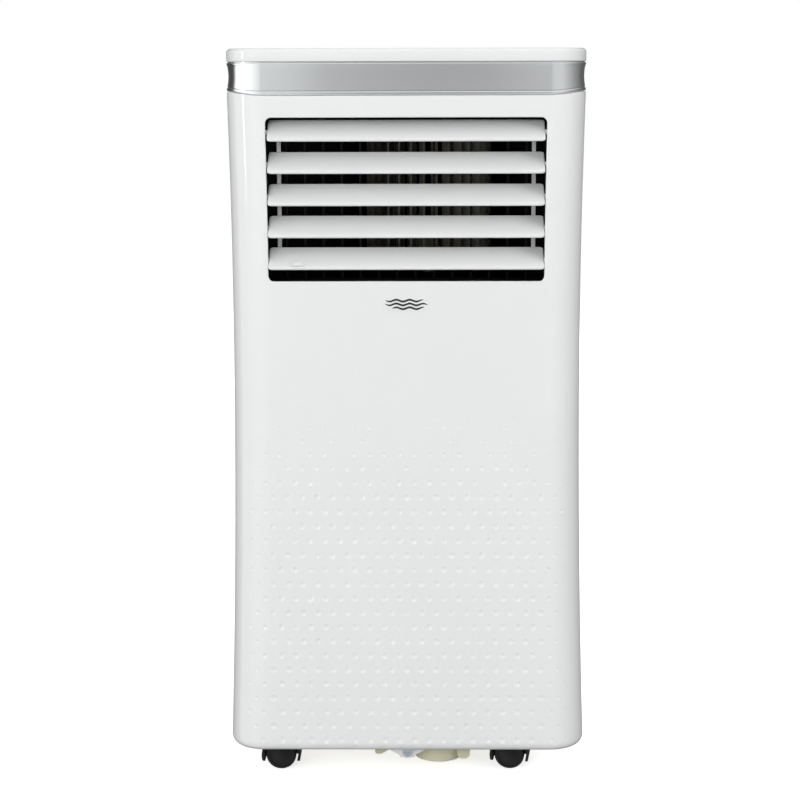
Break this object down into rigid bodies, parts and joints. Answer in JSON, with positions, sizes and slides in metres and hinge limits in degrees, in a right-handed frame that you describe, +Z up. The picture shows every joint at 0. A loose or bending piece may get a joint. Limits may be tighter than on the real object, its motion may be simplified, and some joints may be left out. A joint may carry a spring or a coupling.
{
  "type": "portable air conditioner",
  "caption": "Upright portable air conditioner: white waisted casing on casters, silver trim band under the cap, tilting louvres across the outlet, exhaust collar and inlet grilles behind.",
  "frame": {"origin": "on the floor, at the centre of the unit's box in plan", "axes": "+Z up, the front with the louvres faces -Y, +X to the right seen from the front"},
  "size_m": [0.3014, 0.3282, 0.616],
  "materials": {
    "shell_white": "gloss white ABS",
    "band_silver": "metallic silver paint under lacquer",
    "badge_grey": "gloss dark grey",
    "panel_black": "gloss black",
    "display_dark": "smoked lens",
    "board_green": "solder mask",
    "button_grey": "satin",
    "duct_black": "matt moulded",
    "louvre_white": "satin gloss white ABS",
    "link_grey": "matt moulded",
    "grille_white": "moulded white",
    "filter_mesh": "woven nylon mesh",
    "collar_grey": "moulded light grey",
    "grip_grey": "fine spark texture",
    "rubber_black": "matt rubber",
    "tray_beige": "natural ABS",
    "screw_steel": "zinc plated",
    "caster_black": "moulded nylon",
    "wheel_black": "moulded nylon",
    "deck_white": "moulded white",
    "blower_plastic": "natural moulded",
    "motor_steel": "grey enamel",
    "coil_aluminium": "thin bright fins",
    "compressor_paint": "black enamel",
    "pipe_copper": "drawn copper",
    "box_steel": "galvanised sheet",
    "capacitor_can": "drawn can"
  },
  "bodies": {
    "casing": {"front_panel": "shell_white", "rear_casing": "shell_white", "trim_band": "band_silver", "top_cap": "shell_white", "badge": "badge_grey", "control_panel": "panel_black", "display_window": "display_dark", "control_board": "board_green", "outlet_duct": "duct_black", "guard_grille": "duct_black", "exhaust_collar": "collar_grey", "grip_left": "grip_grey", "grip_right": "grip_grey", "cord_gland": "rubber_black", "drain_spout": "collar_grey", "base_tray": "tray_beige", "tab_screw": "screw_steel", "casing_screws": "screw_steel", "drip_deck": "deck_white", "evaporator": "coil_aluminium", "condenser": "coil_aluminium", "upper_scroll": "duct_black", "upper_motor": "motor_steel", "lower_scroll": "deck_white", "lower_motor": "motor_steel", "compressor": "compressor_paint", "accumulator": "compressor_paint", "rubber_feet": "rubber_black", "refrigerant_pipes": "pipe_copper", "control_box": "box_steel", "capacitor": "capacitor_can"},
    "louvre_1": {"louvre_1": "louvre_white"},
    "louvre_2": {"louvre_2": "louvre_white"},
    "louvre_3": {"louvre_3": "louvre_white"},
    "louvre_4": {"louvre_4": "louvre_white"},
    "louvre_5": {"louvre_5": "louvre_white"},
    "link_bar_left": {"link_bar_left": "link_grey"},
    "link_bar_right": {"link_bar_right": "link_grey"},
    "power_button": {"power_button": "button_grey"},
    "mode_button": {"mode_button": "button_grey"},
    "fan_button": {"fan_button": "button_grey"},
    "timer_button": {"timer_button": "button_grey"},
    "cooler_button": {"cooler_button": "button_grey"},
    "warmer_button": {"warmer_button": "button_grey"},
    "upper_grille": {"upper_inlet_grille": "grille_white", "upper_filter": "filter_mesh"},
    "lower_grille": {"lower_inlet_grille": "grille_white", "lower_filter": "filter_mesh"},
    "drain_plug": {"drain_plug": "rubber_black"},
    "caster_front_left": {"caster_front_left": "caster_black"},
    "caster_front_right": {"caster_front_right": "caster_black"},
    "caster_rear_left": {"caster_rear_left": "caster_black"},
    "caster_rear_right": {"caster_rear_right": "caster_black"},
    "wheel_front_left": {"wheel_front_left": "wheel_black"},
    "wheel_front_right": {"wheel_front_right": "wheel_black"},
    "wheel_rear_left": {"wheel_rear_left": "wheel_black"},
    "wheel_rear_right": {"wheel_rear_right": "wheel_black"},
    "upper_blower": {"upper_blower": "blower_plastic"},
    "lower_blower": {"lower_blower": "blower_plastic"}
  },
  "joints": [
    {"name": "louvre_tilt_5", "type": "hinge", "parent": "casing", "child": "louvre_5", "pos_m": [0, -0.1535, 0.4457], "axis": [1, 0, 0], "range_deg": [-45, 43]},
    {"name": "louvre_tilt_4", "type": "hinge", "parent": "casing", "child": "louvre_4", "pos_m": [0, -0.1535, 0.4716], "axis": [1, 0, 0], "range_deg": [-45, 43]},
    {"name": "louvre_tilt_3", "type": "hinge", "parent": "casing", "child": "louvre_3", "pos_m": [0, -0.1535, 0.4975], "axis": [1, 0, 0], "range_deg": [-45, 43]},
    {"name": "louvre_tilt_2", "type": "hinge", "parent": "casing", "child": "louvre_2", "pos_m": [0, -0.1535, 0.5234], "axis": [1, 0, 0], "range_deg": [-45, 43]},
    {"name": "louvre_tilt_1", "type": "hinge", "parent": "casing", "child": "louvre_1", "pos_m": [0, -0.1535, 0.5493], "axis": [1, 0, 0], "range_deg": [-45, 43]},
    {"name": "link_turn_left", "type": "hinge", "parent": "louvre_5", "child": "link_bar_left", "pos_m": [-0.1043, -0.13548, 0.45222], "axis": [1, 0, 0], "range_deg": [-43, 45]},
    {"name": "link_turn_right", "type": "hinge", "parent": "louvre_5", "child": "link_bar_right", "pos_m": [0.1043, -0.13548, 0.45222], "axis": [1, 0, 0], "range_deg": [-43, 45]},
    {"name": "power_press", "type": "slide", "parent": "casing", "child": "power_button", "axis": [0, 0, -1], "range_m": [0, 0.0008], "stiffness_N_per_m": 400, "springref_m": -0.0004},
    {"name": "mode_press", "type": "slide", "parent": "casing", "child": "mode_button", "axis": [0, 0, -1], "range_m": [0, 0.0008], "stiffness_N_per_m": 400, "springref_m": -0.0004},
    {"name": "fan_press", "type": "slide", "parent": "casing", "child": "fan_button", "axis": [0, 0, -1], "range_m": [0, 0.0008], "stiffness_N_per_m": 400, "springref_m": -0.0004},
    {"name": "timer_press", "type": "slide", "parent": "casing", "child": "timer_button", "axis": [0, 0, -1], "range_m": [0, 0.0008], "stiffness_N_per_m": 400, "springref_m": -0.0004},
    {"name": "cooler_press", "type": "slide", "parent": "casing", "child": "cooler_button", "axis": [0, 0, -1], "range_m": [0, 0.0008], "stiffness_N_per_m": 400, "springref_m": -0.0004},
    {"name": "warmer_press", "type": "slide", "parent": "casing", "child": "warmer_button", "axis": [0, 0, -1], "range_m": [0, 0.0008], "stiffness_N_per_m": 400, "springref_m": -0.0004},
    {"name": "upper_grille_pull", "type": "slide", "parent": "casing", "child": "upper_grille", "axis": [0, 1, 0], "range_m": [0, 0.06]},
    {"name": "lower_grille_pull", "type": "slide", "parent": "casing", "child": "lower_grille", "axis": [0, 1, 0], "range_m": [0, 0.06]},
    {"name": "drain_plug_pull", "type": "slide", "parent": "casing", "child": "drain_plug", "axis": [0, 1, 0], "range_m": [0, 0.03]},
    {"name": "swivel_front_left", "type": "hinge", "parent": "casing", "child": "caster_front_left", "pos_m": [-0.0995, -0.113, 0.028], "axis": [0, 0, 1], "continuous": true},
    {"name": "roll_front_left", "type": "hinge", "parent": "caster_front_left", "child": "wheel_front_left", "pos_m": [-0.1095, -0.113, 0.013], "axis": [0, 1, 0], "continuous": true},
    {"name": "swivel_front_right", "type": "hinge", "parent": "casing", "child": "caster_front_right", "pos_m": [0.0995, -0.113, 0.028], "axis": [0, 0, 1], "continuous": true},
    {"name": "roll_front_right", "type": "hinge", "parent": "caster_front_right", "child": "wheel_front_right", "pos_m": [0.08957, -0.11178, 0.013], "axis": [0.1219, 0.9925, 0], "continuous": true},
    {"name": "swivel_rear_left", "type": "hinge", "parent": "casing", "child": "caster_rear_left", "pos_m": [-0.0995, 0.113, 0.028], "axis": [0, 0, 1], "continuous": true},
    {"name": "roll_rear_left", "type": "hinge", "parent": "caster_rear_left", "child": "wheel_rear_left", "pos_m": [-0.1095, 0.113, 0.013], "axis": [0, 1, 0], "continuous": true},
    {"name": "swivel_rear_right", "type": "hinge", "parent": "casing", "child": "caster_rear_right", "pos_m": [0.0995, 0.113, 0.028], "axis": [0, 0, 1], "continuous": true},
    {"name": "roll_rear_right", "type": "hinge", "parent": "caster_rear_right", "child": "wheel_rear_right", "pos_m": [0.0895, 0.113, 0.013], "axis": [0, 1, 0], "continuous": true},
    {"name": "upper_blower_spin", "type": "hinge", "parent": "casing", "child": "upper_blower", "pos_m": [0.018, -0.0584, 0.5], "axis": [0, 0, 1], "continuous": true},
    {"name": "lower_blower_spin", "type": "hinge", "parent": "casing", "child": "lower_blower", "pos_m": [-0.025, 0.01, 0.253], "axis": [1, 0, 0], "continuous": true}
  ],
  "couplings": [
    {"joint": "louvre_tilt_1", "follows": "louvre_tilt_5", "ratio": 1},
    {"joint": "louvre_tilt_2", "follows": "louvre_tilt_5", "ratio": 1},
    {"joint": "louvre_tilt_3", "follows": "louvre_tilt_5", "ratio": 1},
    {"joint": "louvre_tilt_4", "follows": "louvre_tilt_5", "ratio": 1},
    {"joint": "link_turn_left", "follows": "louvre_tilt_5", "ratio": -1},
    {"joint": "link_turn_right", "follows": "louvre_tilt_5", "ratio": -1}
  ]
}
